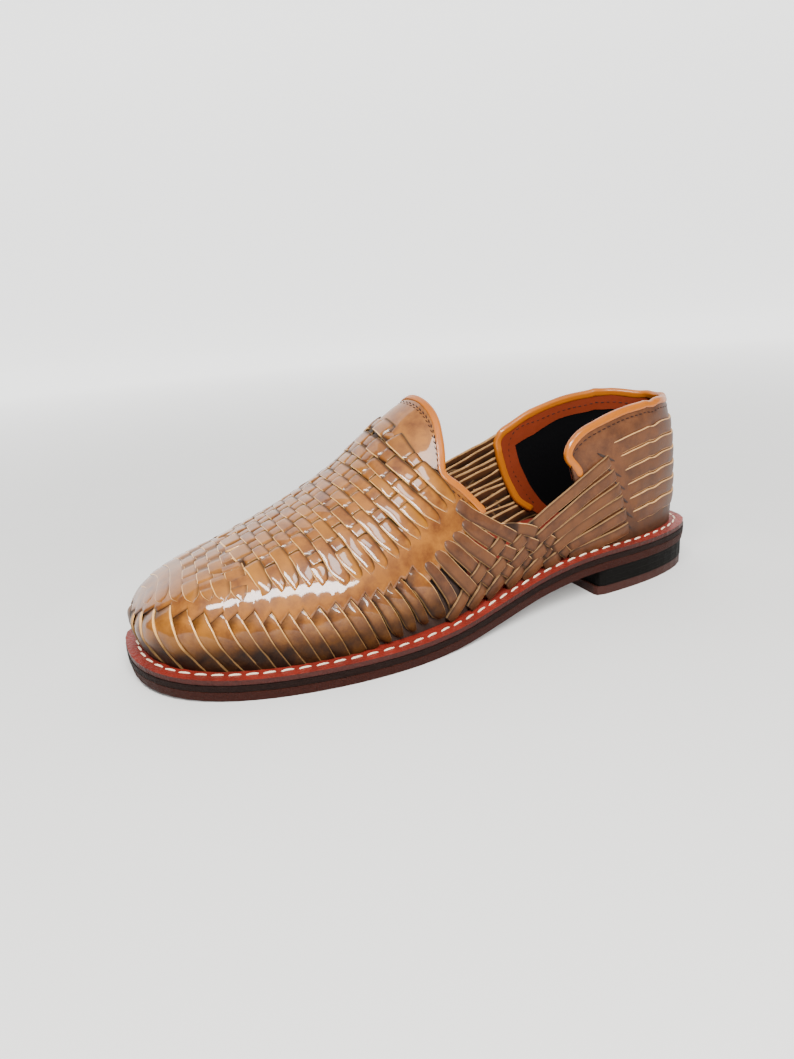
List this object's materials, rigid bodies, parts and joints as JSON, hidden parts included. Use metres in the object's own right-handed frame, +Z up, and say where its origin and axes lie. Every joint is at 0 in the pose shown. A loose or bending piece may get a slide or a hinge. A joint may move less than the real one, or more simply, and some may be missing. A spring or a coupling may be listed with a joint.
{
  "type": "woven slip-on shoe",
  "caption": "Left slip-on leather shoe with a hand-woven strap upper, raised tongue, open throat, stitched welt, leather sole and low stacked heel.",
  "frame": {"origin": "on the floor, half way between toe and heel and half way between the widest points of the sole", "axes": "+Y from the toe to the heel, +X towards the outer (lateral) side of the foot, +Z up"},
  "size_m": [0.1092, 0.3, 0.107],
  "materials": {
    "upper": "glazed caramel-brown leather, patchy, glossy on the bends",
    "tongue_binding": "glossy orange-tan edge binding",
    "counter_binding": "glossy orange-tan edge binding",
    "welt": "red-stained leather, dusty, cream stitches",
    "midsole": "dark brown edge dressing",
    "outsole": "reddish-brown edge dressing, worn",
    "heel_block": "black edge dressing",
    "top_lift": "matte, worn",
    "insole": "red-stained leather, dull"
  },
  "bodies": {
    "root": {"upper": "upper", "tongue_binding": "tongue_binding", "counter_binding": "counter_binding", "welt": "welt", "midsole": "midsole", "outsole": "outsole", "heel_block": "heel_block", "top_lift": "top_lift", "insole": "insole"}
  },
  "joints": []
}
